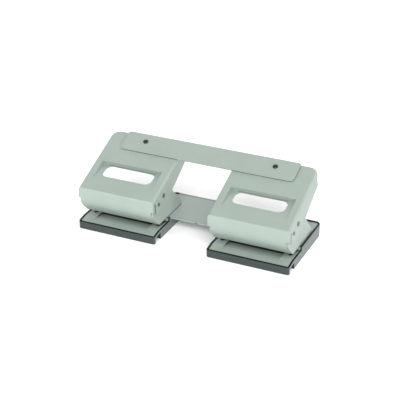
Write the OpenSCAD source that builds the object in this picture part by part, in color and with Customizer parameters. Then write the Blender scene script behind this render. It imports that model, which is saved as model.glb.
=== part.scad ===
// Four-hole desk paper punch: two twin-hole punch units side by side, joined by a flat
// handle bar across both levers and by a plate across both bases.
// Millimetres. +X runs along the row of holes, +Y to the back, +Z up. The origin is on the
// table, midway between the units. Stations along Y are measured from the trays' front edge.

/* [Layout] */
// Distance between the centre planes of the two punch units
unit_pitch = 160; // [140:1:220]
// Distance between the two holes of one unit
hole_spacing = 80; // [72:1:90]
// Diameter of the punched hole
hole_d = 5.5; // [5:0.1:6]
// Distance from the paper's edge to the centre of a hole
hole_margin = 12; // [11:0.5:13]
// Station of the paper stop, where the base plate and the tray's rim step up
stop_y = 38.5; // [37.5:0.5:39]
// Distance from the centre of a hole out to the ear beside it
side_margin = 4.2; // [4.1:0.1:6]

/* [Chip tray] */
// Distance by which a tray stands out beyond the lever on each side
tray_overhang = 1.3; // [0.8:0.1:4]
// Depth of the chip tray, front to back
tray_d = 100; // [98:1:120]
// Thickness of the tray's upright walls
tray_wall = 2.1; // [1.6:0.1:2.4]
// Thickness of the tray's floor
tray_floor = 1.6; // [1.2:0.1:3]
// Radius of the tray's front corners
tray_front_r = 2.6; // [2:0.2:6]
// Radius of the tray's rear corners
tray_rear_r = 6.5; // [2:0.5:7]
// Radius of the corners inside the tray and of the plates in it
inner_r = 1.2; // [0.6:0.2:2]
// Height of the die surface above the table
die_top_z = 10.5; // [10:0.5:16]
// Height by which the tray and its base plate slope down at the front edge
lead_drop = 2.2; // [1:0.1:2.4]
// Length of that slope
lead_len = 12; // [8:0.5:13]
// Height by which the tray's rim stands proud of the die surface
front_rim_proud = 0.5; // [0.3:0.1:1]
// Height by which the tray's rim stands proud of the connecting plate
rear_rim_proud = 0.2; // [0.1:0.1:1]
// Width of the ledge inside the tray walls that carries the base plate
ledge_w = 1.1; // [1:0.1:3]
// Clearance between the tray and the sheet metal inside it
tray_gap = 0.3; // [0.2:0.05:0.5]
// Angle through which a tray swings down to be emptied
tray_swing = 30; // [20:1:35]
// Gap between the sheet metal and the tray's rear wall
rear_gap = 1; // [0.8:0.1:2]
// Station where the finger recess starts
recess_y = 3; // [2:0.5:8]
// Length of the finger recess in the tray's side walls
recess_len = 12.5; // [10:0.5:18]
// Thickness of the roof over the finger recess
recess_roof = 1; // [0.8:0.1:2]
// Depth of the finger recess into the tray
recess_depth = 9; // [6:0.5:12]
// Diameter of the wire pin that the tray swings on
tray_pin_d = 1.6; // [1.4:0.1:1.8]
// Wall of the knuckle around the tray's pin
knuckle_wall = 0.6; // [0.5:0.05:0.8]
// Width of the snap-in mouth above the tray's pin
snap_w = 1.2; // [1:0.1:1.3]

/* [Base plates] */
// Thickness of the base plate with the die holes
base_t = 1.5; // [1.2:0.1:2]
// Thickness of the connecting plate
plate_t = 1.5; // [1.2:0.1:2]
// Height of the slot that takes the paper
slot_h = 4.5; // [4.2:0.1:6]
// Length of the slope where the base plate steps up
step_run = 1; // [0.5:0.1:1.5]
// Distance from the paper stop back to the front edge of the connecting plate
plate_setback = 2.5; // [2:0.5:4]
// Half the width of the trough pressed into the base plate between the holes
trough_half_w = 33; // [20:1:34]
// Depth of the trough
trough_depth = 2.5; // [1:0.1:3]
// Station where the trough starts to slope down
trough_y = 9; // [8:0.5:16]
// Length of the trough's slope
trough_slope = 16; // [8:0.5:17]
// Length of the trough's level floor behind the slope
trough_floor = 6; // [3:0.5:6]
// Width of the centring notch in the front edge of the connecting plate
notch_w = 5; // [3:0.5:8]
// Depth of the centring notch
notch_d = 2.8; // [2:0.2:4]
// Width of a tongue of the connecting plate, which ends in a knuckle
tongue_w = 8; // [6:0.5:12]
// Distance from the unit's centre to a tongue
tongue_x = 22; // [18:1:26]
// Distance from a tongue to the part of the plate that covers the tray's inner corner
corner_offset = 6; // [5:0.5:8]

/* [Punch frame] */
// Thickness of the punch frame's sheet
frame_t = 1.5; // [1.2:0.1:2]
// Clearance between an ear and the lever flange beside it
ear_gap = 0.3; // [0.2:0.05:0.6]
// Height of the ears' top edge above the pivot
ear_top = 8; // [7:0.25:8.25]
// Distance from the pivot forward to the start of the ears' top edge
ear_top_run = 6; // [4:0.5:8]
// Distance from the pivot forward to the ears' front edge
ear_front = 11.4; // [10:0.2:11.6]
// Height above the pivot at which the ears' front edge starts
ear_shoulder = 0.5; // [0:0.25:2]
// Clearance between the pusher pin and its slot in an ear
pusher_clear = 0.8; // [0.4:0.1:1.2]
// Station of the ears' rear foot
ear_rear_y = 75; // [74.5:0.5:80]
// Height of the short upright edge at the ears' rear foot
ear_heel = 4.5; // [2:0.25:6]
// Angle of the ears' sloping rear edge
ear_slope = 47; // [44:1:50]
// Width of a foot turned in from an ear
foot_w = 10; // [9:0.5:14]
// Station where the feet start
foot_y = 44; // [43.5:0.5:47]
// Length of the feet
foot_len = 30; // [28:0.5:31]
// Height of the upper punch guide above the lower one
guide_rise = 12; // [10:0.5:12.5]
// Width of both punch guides, front to back
guide_w = 9; // [8.5:0.5:9.5]
// Length of the tabs that hold the upper guide to the ears
guide_tab = 6; // [4:0.5:8]
// Distance by which a tab stands out behind the upper guide
guide_tab_out = 3; // [1:0.5:4]
// Diameter of the rivets through the feet
rivet_d = 4; // [3:0.25:5]
// Distance between the two rivets of a foot
rivet_pitch = 18; // [16:1:20]
// Width by which a rivet's head stands out around it
rivet_rim = 1.4; // [1:0.1:2]
// Height of a rivet's head
rivet_head_h = 1.3; // [0.8:0.1:1.6]

/* [Lever] */
// Thickness of the lever's sheet
lever_t = 1.2; // [1:0.1:1.3]
// Slope of the lever's top panel at rest
panel_slope = 22; // [20:0.5:23]
// Length of the top panel from the nose fold to the rear edge
panel_len = 95.2; // [94:0.2:100]
// Horizontal distance from the pivot forward to the nose's face
nose_reach = 13.5; // [13.4:0.1:15]
// Height of the panel's front corner above the pivot
panel_rise = 8.2; // [8:0.1:9]
// Radius of the fold between the panel and the nose
fold_r = 2.4; // [2:0.1:6]
// Depth below the pivot's level at which the nose starts to curve back
nose_turn = 1; // [0:0.1:2]
// Radius of the nose's upper curve
nose_r = 24; // [16:0.5:26]
// Angle through which the nose's upper curve turns
nose_bend = 44; // [37:1:46]
// Radius of the nose's lower curve
lip_r = 6; // [4:0.5:7]
// Clearance between the nose's lower lip and the top of the paper slot
lip_gap = 1.6; // [0.6:0.1:2]
// Direction in which the nose's lower curve ends, seen from its centre
lip_end_angle = 250; // [245:1:260]
// Radius of the folds along the panel's side edges
side_r = 3; // [2:0.25:4]
// Radius of the panel's rear corners, seen from above
corner_r = 10; // [8:0.5:14]
// Depth of the turned-down rear edge
rear_lip = 6; // [4:0.5:8]
// Height above the pivot at which the side flange ends at the rear
flange_rear = 25.7; // [24:0.1:27]
// Distance below the pivot at which the full-width nose ends
nose_side_drop = 4.8; // [4:0.2:5]
// Width of the open seam between the nose's rounded end and the side flange
seam_w = 0.5; // [0.3:0.1:0.8]
// Distance from the nose's face to that seam
seam_y = 4; // [3.4:0.1:5]
// Height above the pivot at which the seam ends
seam_top = 4; // [2:0.5:5]
// Distance below the pivot of the side flange's lowest edge
flange_drop = 12.3; // [11:0.1:13]
// Distance from the pivot back to the front end of that lowest edge
flange_low_start = 2; // [1:0.5:4]
// Distance from the pivot back to the rear end of that lowest edge
flange_low_end = 11; // [9:0.5:13]
// Height gained along that lowest edge
flange_low_rise = 0.5; // [0:0.1:1]
// Distance from the pivot back to the point where the flange's edge runs level
flange_rear_y = 73; // [70:0.5:74]
// Clearance between the nose's lower part and the ears on each side
toe_gap = 0.3; // [0.3:0.1:1]
// Width by which the nose's lower part tapers on each side
toe_taper = 0.6; // [0.4:0.2:4]

/* [Finger slot] */
// Distance from the panel's front corner to the start of the dish around the slot
dish_start = 15; // [12:0.5:17]
// Distance from the panel's front corner to the crest behind the slot
crest_s = 46.4; // [45:0.2:48]
// Distance from the lever's side to the dish
dish_margin = 8.2; // [7:0.2:12]
// Depth of the dish below the crest
dish_depth = 4.5; // [3:0.25:5]
// Distance from the lever's side to the finger slot
slot_margin = 16.7; // [15.5:0.1:20]
// Distance from the panel's front corner to the slot's front edge
slot_s = 24; // [22:0.5:26]
// Length of the slot along the panel
slot_len = 19.2; // [16:0.2:20]
// Corner radius of the slot
slot_r = 7; // [4:0.5:8]

/* [Pivot and punches] */
// Station of the lever's pivot pin
pivot_y = 15; // [14.8:0.1:16]
// Height of the pivot above the bottom of the punch frame
pivot_rise = 28.3; // [28:0.1:29]
// Diameter of the pivot pin
pivot_d = 3.2; // [3:0.1:3.8]
// Diameter of the pivot pin's heads
pivot_head_d = 4; // [3.9:0.1:6]
// Horizontal distance from the pivot back to the pusher pin
pusher_back = 12.2; // [12:0.1:13]
// Height of the pusher pin above the pivot
pusher_rise = 5.5; // [5:0.1:6]
// Diameter of the pusher pin
pusher_d = 4.2; // [4:0.1:4.8]
// Diameter of the pusher pin's heads
pusher_head_d = 5; // [4.9:0.1:7]
// Thickness of the pins' heads
pin_head_t = 0.7; // [0.5:0.05:0.8]
// Gap between the lever's side and the pins' heads
pin_head_gap = 0.15; // [0.1:0.05:0.3]
// Running clearance around a pin or punch, on the radius
run_gap = 0.05; // [0.02:0.01:0.08]
// Clearance between the pusher pin and a punch cap at rest
press_gap = 0.3; // [0.2:0.05:0.5]
// Angle through which the handle is pressed down
lever_swing = 25.5; // [24:0.5:26]
// Height of a punch's tip above the bottom of the punch frame at rest
tip_rise = 0.3; // [0.2:0.05:0.6]
// Diameter of a punch cap
cap_d = 7.6; // [7.5:0.1:7.6]
// Height of a punch cap
cap_h = 2.6; // [2:0.1:3]
// Thickness of a cap above the punch's neck
cap_lid = 1; // [0.6:0.1:1.4]
// Depth by which a punch's neck is turned down, on the radius
neck_step = 0.75; // [0.5:0.05:1]
// Radius by which the hollow grinding of a punch's tip exceeds the punch's own
grind_extra = 0.8; // [0.5:0.1:2]
// Diameter of a return spring's wire
wire_d = 0.6; // [0.5:0.05:0.6]
// Number of turns of a return spring
spring_turns = 6.5; // [5:0.5:8]
// Distance by which a spring stays inside its cap's edge
spring_inset = 0.05; // [0:0.01:0.1]

/* [Handle bar] */
// Distance from a unit's centre out to the end of the handle bar
bar_reach = 26.5; // [20:0.5:40]
// Width of the handle bar
bar_w = 28; // [24:0.5:30]
// Thickness of the handle bar
bar_t = 1.8; // [1.5:0.1:3]
// Corner radius of the handle bar's front corners
bar_front_r = 5; // [3:0.5:8]
// Corner radius of the handle bar's rear corners
bar_rear_r = 3; // [2:0.5:6]
// Distance from the bar's front edge to its screws
bar_screw_y = 16; // [12:0.5:18]
// Diameter of the bar screws' thread
screw_d = 3; // [2.5:0.1:3.5]
// Diameter of the head of a bar screw
screw_head_d = 6; // [5.5:0.1:7]
// Height of the head of a bar screw
screw_head_h = 1.7; // [1.2:0.1:2.2]
// Distance across the corners of the hexagon socket in a screw's head
socket_d = 2.2; // [1.8:0.1:2.6]
// Clearance around a screw in its holes, on the radius
screw_gap = 0.1; // [0.05:0.05:0.2]
// Length of thread that stands out of the nut
thread_end = 0.8; // [0.4:0.1:2]
// Height of the nut
nut_h = 2.4; // [2:0.1:3]
// Distance across the nut's flats
nut_flat = 5.5; // [5:0.1:6.5]

/* [Hidden] */

LEFT = -1;
RIGHT = 1;
// Overshoot of a cutting tool past the face that it cuts
cut = 1;
// Overlap of two shapes that are fused into one piece
fuse = 0.1;
// Length of a cutting tool that passes right through the part
reach = 200;
// Facets of a round surface, and of a small one
$fn = 64;
arc_steps = 10;

sheet_paint = [0.69, 0.745, 0.714];
nose_paint = [0.76, 0.80, 0.77];
tray_plastic = [0.30, 0.33, 0.33];
steel = [0.72, 0.73, 0.74];
black_steel = [0.10, 0.11, 0.11];

// Levels above the table
plate_top_z = die_top_z + slot_h;
plate_low_z = plate_top_z - plate_t;
frame_z = plate_top_z;
rear_rim_z = plate_top_z + rear_rim_proud;
pivot_z = frame_z + pivot_rise;
guide_z = frame_z + guide_rise;

// Stations and half widths
punch_y = stop_y - hole_margin;
pusher_y = pivot_y + pusher_back;
pusher_z = pivot_z + pusher_rise;
ear_in = hole_spacing / 2 + side_margin;
flange_in = ear_in + frame_t + ear_gap;
half_lever = flange_in + lever_t;
half_tray = half_lever + tray_overhang;
lever_w = 2 * half_lever;
tray_w = 2 * half_tray;
half_plate = half_tray - tray_wall - tray_gap;
dish_w = 2 * (half_lever - dish_margin);
slot_w = 2 * (half_lever - slot_margin);
hinge_wall = tray_wall + ledge_w;
plate_y = stop_y + plate_setback;
plate_rear_y = tray_d - hinge_wall - rear_gap;
// The base plate's underside steps up a little further back than its top
step_lag = base_t * 0.4;
knuckle_r = tray_pin_d / 2 + run_gap + knuckle_wall;
tray_axis_y = tray_d - hinge_wall / 2;
tray_axis_z = plate_top_z - knuckle_r;
tray_pin_len = 2 * (tongue_x + tongue_w);
// The plate covers each tray's inner corner from this distance off the unit's centre
corner_x = tongue_x + tongue_w / 2 + corner_offset;
corner_z_top = tray_axis_z - (tray_gap + hinge_wall / 2 * sin(tray_swing)) / cos(tray_swing);

// The nose and panel outline, in the side view
nose_y = pivot_y - nose_reach;
corner_z = pivot_z + panel_rise;
fold_centre = [nose_y + fold_r, corner_z - fold_r * (1 - sin(panel_slope)) / cos(panel_slope)];
bend_centre = [nose_y + nose_r, pivot_z - nose_turn];
bend_out = [-cos(nose_bend), -sin(nose_bend)];
bend_end = bend_centre + nose_r * bend_out;
lip_z = frame_z + lip_gap;
lip_centre_z = lip_z - lip_r * sin(lip_end_angle);
lip_start = lip_centre_z + lip_r * bend_out[1];
straight_len = (bend_end[1] - lip_start) / cos(nose_bend);
lip_centre = bend_end + straight_len * [sin(nose_bend), -cos(nose_bend)] - lip_r * bend_out;

half_flat = half_lever - side_r;
start_s = fold_r * tan(45 - panel_slope / 2);
end_s = panel_len - corner_r;

// Travel of a punch while the handle goes down
punch_travel = pusher_back * sin(lever_swing) + pusher_rise * (1 - cos(lever_swing));
cap_top_z = pusher_z - pusher_d / 2 - press_gap;
cap_z = cap_top_z - cap_h;
neck_d = hole_d - 2 * neck_step;
neck_h = cap_h - cap_lid;
tip_z = frame_z + tip_rise;
spring_low_z = guide_z + frame_t;
spring_r = (cap_d - wire_d) / 2 - spring_inset;

// ---- Helpers -------------------------------------------------------------------------

// Puts its children in the place of one punch unit
module at_unit(side) {
    translate([side * unit_pitch / 2, -tray_d / 2, 0]) children();
}

// Turns a side-view outline, drawn as [station, height], into a plate w wide about x = 0
module across(w) {
    rotate([90, 0, 90]) translate([0, 0, -w / 2]) linear_extrude(w) children();
}

// Frame of the top panel: x across, y along the panel from its front corner, z outwards
module on_panel() {
    translate([0, nose_y, corner_z]) rotate([panel_slope, 0, 0]) children();
}

// A rectangle centred on x = 0 that starts at y = 0, with its own radius at each end
module rounded(w, h, front_r, rear_r) {
    for (s = [-1, 1]) {
        translate([s * (w / 2 - front_r), front_r]) circle(front_r);
        translate([s * (w / 2 - rear_r), h - rear_r]) circle(rear_r);
    }
    translate([-w / 2 + front_r, 0]) square([w - 2 * front_r, h / 2]);
    translate([-w / 2 + rear_r, h / 2]) square([w - 2 * rear_r, h / 2]);
    translate([-w / 2, front_r]) square([w, h - front_r - rear_r]);
}

// Points of an arc about c, from angle a to angle b, without its first few when told so
function arc(c, r, a, b, skip = 0) =
    [for (i = [skip:arc_steps]) let (t = a + (b - a) * i / arc_steps) c + r * [cos(t), sin(t)]];

// A side-view point in the panel's own frame: distance along the panel, height above it
function to_panel(p) =
    let (q = p - [nose_y, corner_z])
    [q[0] * cos(panel_slope) + q[1] * sin(panel_slope),
        q[1] * cos(panel_slope) - q[0] * sin(panel_slope)];

// The line of the fold and nose in the panel's frame, set in by d from the outer face.
// It starts exactly where the flat of the panel ends.
function nose_line(d) = concat([[start_s, -d]], [for (p = concat(
    arc(fold_centre, fold_r - d, 90 + panel_slope, 180, 1),
    arc(bend_centre, nose_r - d, 180, 180 + nose_bend),
    arc(lip_centre, lip_r - d, 180 + nose_bend, lip_end_angle))) to_panel(p)]);

// Side-view line h above the die surface: the slope in front, the deck, and behind the step
// at station step the height rear
function deck_line(h, step, rear) =
    let (front = -cut)
    [[front, die_top_z + h - lead_drop * (lead_len - front) / lead_len],
        [lead_len, die_top_z + h], [step, die_top_z + h], [step + step_run, rear]];

function backwards(p) = [for (i = [len(p) - 1:-1:0]) p[i]];

// ---- Chip tray -----------------------------------------------------------------------

// Side view of the tray: low in front, high behind the paper slot
module tray_side() {
    polygon(concat([[tray_d + cut, -cut], [-cut, -cut]],
        deck_line(front_rim_proud, stop_y, rear_rim_z), [[tray_d + cut, rear_rim_z]]));
}

// Side view of the space above the ledge, lowered by drop
module above_ledge(drop) {
    rear_y = tray_d - hinge_wall;
    rear_z = plate_low_z - base_t - tray_gap - drop;
    polygon(concat(deck_line(-base_t - tray_gap - drop, stop_y + step_lag + tray_gap, rear_z),
        [[rear_y, rear_z], [rear_y, reach], [-cut, reach]]));
}

// Block of the tray's plan, inset from its outline all round
module tray_block(inset) {
    front_r = inset > 0 ? inner_r : tray_front_r;
    rear_r = inset > 0 ? inner_r : tray_rear_r;
    linear_extrude(rear_rim_z)
        translate([0, inset])
            rounded(tray_w - 2 * inset, tray_d - 2 * inset, front_r, rear_r);
}

// The plan of the two finger recesses, grown by a wall all round, as tall blocks
module recesses(grow) {
    for (s = [0, 1]) mirror([s, 0, 0])
        translate([half_tray - recess_depth - grow, recess_y - grow, -cut])
            cube([reach, recess_len + 2 * grow, reach]);
}

module chip_tray(side) {
    inner_rim = plate_low_z - tray_gap;
    open_y = plate_y - tray_gap;
    color(tray_plastic) at_unit(side) difference() {
        intersection() {
            tray_block(0);
            across(reach) tray_side();
        }
        difference() {
            translate([0, 0, tray_floor]) tray_block(hinge_wall);
            recesses(tray_wall);
        }
        intersection() {
            translate([0, 0, tray_floor]) tray_block(tray_wall);
            across(reach) above_ledge(0);
        }
        difference() {
            recesses(0);
            across(reach) above_ledge(recess_roof);
        }
        // the connecting plate passes over the wall that faces the other unit and its corner
        mirror([(side + 1) / 2, 0, 0]) {
            translate([half_plate, open_y, inner_rim]) cube([reach, reach, reach]);
            translate([corner_x - tray_gap, tray_d - hinge_wall - cut, corner_z_top])
                cube([reach, reach, reach]);
        }
        // notches in the thick rear wall for the two knuckles
        for (s = [-1, 1])
            translate([s * tongue_x - tongue_w / 2 - tray_gap, tray_d - hinge_wall - cut,
                    tray_axis_z - knuckle_r - tray_gap])
                cube([tongue_w + 2 * tray_gap, hinge_wall + 2 * cut, reach]);
        // seat of the pin, open upwards so that it snaps in
        tray_pin_place() cylinder(d = tray_pin_d, h = tray_pin_len);
        translate([-tray_pin_len / 2, tray_axis_y - snap_w / 2, tray_axis_z])
            cube([tray_pin_len, snap_w, reach]);
    }
}

module tray_pin_place() {
    translate([-tray_pin_len / 2, tray_axis_y, tray_axis_z]) rotate([0, 90, 0]) children();
}

module tray_pin(side) {
    color(steel) at_unit(side) tray_pin_place() cylinder(d = tray_pin_d, h = tray_pin_len);
}

// ---- Base plates ---------------------------------------------------------------------

// Side view of the base plate with its slope and its step
module base_side() {
    polygon(concat(deck_line(0, stop_y, plate_low_z), [[tray_d, plate_low_z],
        [tray_d, plate_low_z - base_t]],
        backwards(deck_line(-base_t, stop_y + step_lag, plate_low_z - base_t))));
}

// The space of the trough, or the same space grown downwards and sideways by the sheet
module trough(grow) {
    y1 = trough_y + trough_slope;
    y2 = y1 + trough_floor;
    top = die_top_z + (grow > 0 ? 0 : cut);
    translate([0, 0, -grow]) across(2 * (trough_half_w + grow))
        polygon([[trough_y, die_top_z], [y1, die_top_z - trough_depth],
            [y2, die_top_z - trough_depth], [y2 + trough_depth, die_top_z],
            [y2 + trough_depth, top], [trough_y, top]]);
}

module rivet_places() {
    for (s = [-1, 1], k = [-1, 1])
        translate([s * (ear_in - foot_w / 2 + fuse), foot_y + foot_len / 2 + k * rivet_pitch / 2, 0])
            children();
}

module punch_places() {
    for (s = [-1, 1])
        translate([s * hole_spacing / 2, punch_y, 0]) children();
}

module base_plate(side) {
    front_y = tray_wall + tray_gap;
    color(sheet_paint) at_unit(side) difference() {
        union() {
            intersection() {
                across(reach) base_side();
                translate([0, front_y]) linear_extrude(reach)
                    rounded(2 * half_plate, plate_rear_y - front_y, inner_r, inner_r);
            }
            trough(base_t);
        }
        trough(0);
        punch_places() cylinder(r = hole_d / 2 + run_gap, h = reach);
        rivet_places() cylinder(r = rivet_d / 2 + run_gap, h = reach);
    }
}

// Puts its children at the start of each knuckle, with z along its axis
module knuckles() {
    for (side = [LEFT, RIGHT], s = [-1, 1])
        at_unit(side) translate([s * tongue_x - tongue_w / 2, tray_axis_y, tray_axis_z])
            rotate([0, 90, 0]) children();
}

module connecting_plate() {
    w = unit_pitch + 2 * half_plate;
    bridge_w = unit_pitch - 2 * corner_x;
    color(sheet_paint) difference() {
        union() {
            translate([0, -tray_d / 2, plate_low_z]) linear_extrude(plate_t) difference() {
                union() {
                    translate([0, plate_y]) rounded(w, plate_rear_y - plate_y, inner_r, inner_r);
                    translate([-bridge_w / 2, plate_y + notch_d])
                        square([bridge_w, tray_d - plate_y - notch_d]);
                    for (u = [-1, 1], s = [-1, 1])
                        translate([u * unit_pitch / 2 + s * tongue_x - tongue_w / 2,
                                plate_rear_y - fuse])
                            square([tongue_w, tray_axis_y - plate_rear_y + fuse]);
                }
                translate([0, plate_y])
                    polygon([[-notch_w / 2, -fuse], [0, notch_d], [notch_w / 2, -fuse]]);
            }
            knuckles() cylinder(r = knuckle_r, h = tongue_w);
        }
        knuckles() translate([0, 0, -cut])
            cylinder(r = tray_pin_d / 2 + run_gap, h = tongue_w + 2 * cut);
        for (side = [LEFT, RIGHT])
            at_unit(side) rivet_places() cylinder(r = rivet_d / 2 + run_gap, h = reach);
    }
}

// ---- Punch frame ---------------------------------------------------------------------

// Side view of an ear
module ear_outline() {
    top_z = pivot_z + ear_top;
    heel_z = frame_z + ear_heel;
    slope_y = ear_rear_y - (top_z - heel_z) / tan(ear_slope);
    front_y = pivot_y - ear_front;
    // the front edge drops straight down to the line of the nose and follows it from there
    meet = acos((bend_centre[0] - front_y) / nose_r);
    polygon(concat(
        [[ear_rear_y, frame_z], [ear_rear_y, heel_z], [slope_y, top_z],
            [pivot_y - ear_top_run, top_z], [front_y, pivot_z + ear_shoulder]],
        arc(bend_centre, nose_r, 180 + meet, 180 + nose_bend),
        arc(lip_centre, lip_r, 180 + nose_bend, lip_end_angle),
        [[lip_centre[0], frame_z]]));
}

// The open slot in an ear that the pusher pin travels in
module pusher_slot() {
    far_y = pivot_y + norm([pusher_back, pusher_rise]);
    r = pusher_d / 2 + pusher_clear + (far_y - pusher_y) / 2;
    translate([(pusher_y + far_y) / 2, pusher_z - punch_travel]) {
        circle(r);
        translate([-r, 0]) square([2 * r, reach]);
    }
}

module punch_frame(side) {
    color(sheet_paint) at_unit(side) difference() {
        union() {
            for (s = [-1, 1])
                translate([s * (ear_in + frame_t / 2), 0, 0]) across(frame_t) difference() {
                    ear_outline();
                    pusher_slot();
                }
            // web between the ears, which guides the punches and roofs the paper slot
            translate([-ear_in - fuse, punch_y - guide_w / 2, frame_z])
                cube([2 * ear_in + 2 * fuse, foot_y + fuse - punch_y + guide_w / 2, frame_t]);
            // feet turned in from the ears
            for (s = [-1, 1])
                translate([s * (ear_in + fuse - foot_w / 2) - foot_w / 2, foot_y, frame_z])
                    cube([foot_w, foot_len, frame_t]);
        }
        translate([-half_tray, pivot_y, pivot_z]) rotate([0, 90, 0])
            cylinder(r = pivot_d / 2, h = tray_w);
        punch_places() cylinder(r = hole_d / 2 + run_gap, h = reach);
        rivet_places() cylinder(r = rivet_d / 2 + run_gap, h = reach);
    }
}

module upper_guide(side) {
    tab_y = punch_y + guide_w / 2 + guide_tab_out - guide_tab;
    color(steel) at_unit(side) difference() {
        union() {
            translate([-ear_in, punch_y - guide_w / 2, guide_z])
                cube([2 * ear_in, guide_w, frame_t]);
            for (s = [-1, 1])
                translate([s * (ear_in - frame_t / 2) - frame_t / 2, tab_y, guide_z - guide_tab])
                    cube([frame_t, guide_tab, guide_tab + frame_t]);
        }
        punch_places() cylinder(r = hole_d / 2 + run_gap, h = reach);
    }
}

module frame_rivets(side) {
    head_r = rivet_d / 2 + rivet_rim;
    top_z = frame_z + frame_t;
    low_z = plate_low_z - base_t - rivet_head_h;
    color(steel) at_unit(side) rivet_places() {
        translate([0, 0, low_z]) cylinder(r = rivet_d / 2, h = top_z - low_z + rivet_head_h);
        translate([0, 0, low_z]) cylinder(r = head_r, h = rivet_head_h);
        translate([0, 0, top_z]) intersection() {
            cylinder(r = head_r, h = rivet_head_h);
            translate([0, 0, -head_r]) sphere(r = head_r + rivet_head_h);
        }
    }
}

// A pin along x with a flat head at each end
module headed_pin(y, z, d, head_d, dimple_d) {
    head_x = half_lever + pin_head_gap;
    translate([0, y, z]) rotate([0, 90, 0]) difference() {
        union() {
            translate([0, 0, -head_x]) cylinder(d = d, h = 2 * head_x);
            for (s = [-1, 1])
                translate([0, 0, s * (head_x + pin_head_t / 2) - pin_head_t / 2])
                    cylinder(d = head_d, h = pin_head_t);
        }
        for (s = [-1, 1])
            translate([0, 0, s * (head_x + pin_head_t) - pin_head_t / 2])
                cylinder(d = dimple_d, h = pin_head_t);
    }
}

module pivot_pin(side) {
    color(steel) at_unit(side)
        headed_pin(pivot_y, pivot_z, pivot_d, pivot_head_d, pivot_d / 2);
}

module pusher_pin(side) {
    color(steel) at_unit(side)
        headed_pin(pusher_y, pusher_z, pusher_d, pusher_head_d, pusher_d * 0.7);
}

// ---- Lever ---------------------------------------------------------------------------

// Everything behind the nose's outer face, in the panel's frame
module behind_nose(top) {
    polygon(concat([[panel_len + cut, top], [start_s, top]], nose_line(0),
        [[panel_len + cut, -panel_len]]));
}

// Side view of a lever flange below the side fold, in the panel's frame
module flange_outline() {
    front = nose_y + lever_t / 2;
    low_z = pivot_z - flange_drop;
    rear_z = pivot_z + flange_rear;
    intersection() {
        behind_nose(-side_r);
        polygon([for (p = [[front, corner_z],
            [front, pivot_z - nose_side_drop],
            [pivot_y + flange_low_start, low_z],
            [pivot_y + flange_low_end, low_z + flange_low_rise],
            [pivot_y + flange_rear_y, rear_z],
            [reach, rear_z], [reach, corner_z + reach], [front, corner_z + reach]]) to_panel(p)]);
        translate([-panel_len, -reach])
            square([panel_len + end_s, reach - side_r]);
    }
}

// Cross-section of a rolled edge: the fold and a flange h deep below the panel's face.
// x = 0 is the edge of the flat, and the fold turns towards +x. A short tab lies on the flat.
module edge_section(h) {
    intersection() {
        translate([0, -side_r]) difference() {
            circle(side_r);
            circle(side_r - lever_t);
        }
        translate([0, -side_r]) square(side_r);
    }
    translate([side_r - lever_t, -h]) square([lever_t, h - side_r]);
    translate([-fuse, -lever_t]) square([fuse, lever_t]);
}

// The folds along the panel's sides and rear, in the panel's frame
module panel_edges() {
    for (s = [0, 1]) mirror([s, 0, 0]) {
        intersection() {
            translate([half_flat, end_s, 0]) rotate([90, 0, 0])
                linear_extrude(panel_len) edge_section(side_r + fuse);
            across(reach) behind_nose(cut);
        }
        translate([half_lever - corner_r, end_s, 0])
            rotate_extrude(angle = 90) translate([corner_r - side_r, 0]) edge_section(rear_lip);
        translate([half_lever - corner_r, end_s, -lever_t])
            rotate_extrude(angle = 90) square([corner_r - side_r, lever_t]);
    }
    translate([-half_lever + corner_r, panel_len - side_r, 0]) rotate([90, 0, 90])
        linear_extrude(2 * (half_lever - corner_r)) edge_section(rear_lip);
}

// The flat of the panel, between the folds and around the dish
module panel_flat() {
    difference() {
        union() {
            translate([-half_flat, start_s, -lever_t])
                cube([2 * half_flat, end_s - start_s, lever_t]);
            translate([-half_lever + corner_r, end_s, -lever_t])
                cube([2 * (half_lever - corner_r), corner_r - side_r, lever_t]);
        }
        translate([-dish_w / 2, dish_start, -lever_t - cut])
            cube([dish_w, crest_s - dish_start, lever_t + 2 * cut]);
    }
}

// The sunken floor around the finger slot, and its upright rear and side walls
module dish() {
    low = -dish_depth;
    rear = crest_s - lever_t;
    on_panel() {
        across(dish_w) polygon([[dish_start, 0], [rear, low], [rear, 0], [crest_s, 0],
            [crest_s, low - lever_t], [rear, low - lever_t], [dish_start, -lever_t]]);
        for (s = [-1, 1])
            translate([s * (dish_w - lever_t) / 2, 0, 0]) across(lever_t)
                polygon([[dish_start, 0], [crest_s, 0], [crest_s, low - lever_t],
                    [dish_start, -lever_t]]);
    }
}

module screw_place() {
    on_panel() translate([0, panel_len - bar_w + bar_screw_y, 0]) children();
}

module lever(side) {
    color(sheet_paint) at_unit(side) difference() {
        union() {
            on_panel() panel_flat();
            on_panel() panel_edges();
            dish();
            nose();
            for (s = [-1, 1])
                on_panel() translate([s * (half_lever - lever_t / 2), 0, 0])
                    across(lever_t) flange_outline();
        }
        on_panel() translate([0, slot_s, -2 * dish_depth])
            linear_extrude(3 * dish_depth) rounded(slot_w, slot_len, slot_r, slot_r);
        translate([-half_tray, pivot_y, pivot_z]) rotate([0, 90, 0])
            cylinder(r = pivot_d / 2 + run_gap, h = tray_w);
        translate([-half_tray, pusher_y, pusher_z]) rotate([0, 90, 0])
            cylinder(r = pusher_d / 2, h = tray_w);
        screw_place() translate([0, 0, -lever_t - cut])
            cylinder(r = screw_d / 2 + screw_gap, h = lever_t + 2 * cut);
        // open seams where the nose's rounded ends meet the side flanges
        for (s = [-1, 1])
            translate([s * half_lever - lever_t - cut, nose_y + seam_y,
                    pivot_z + seam_top - reach])
                cube([2 * (lever_t + cut), seam_w, reach]);
    }
}

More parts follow.
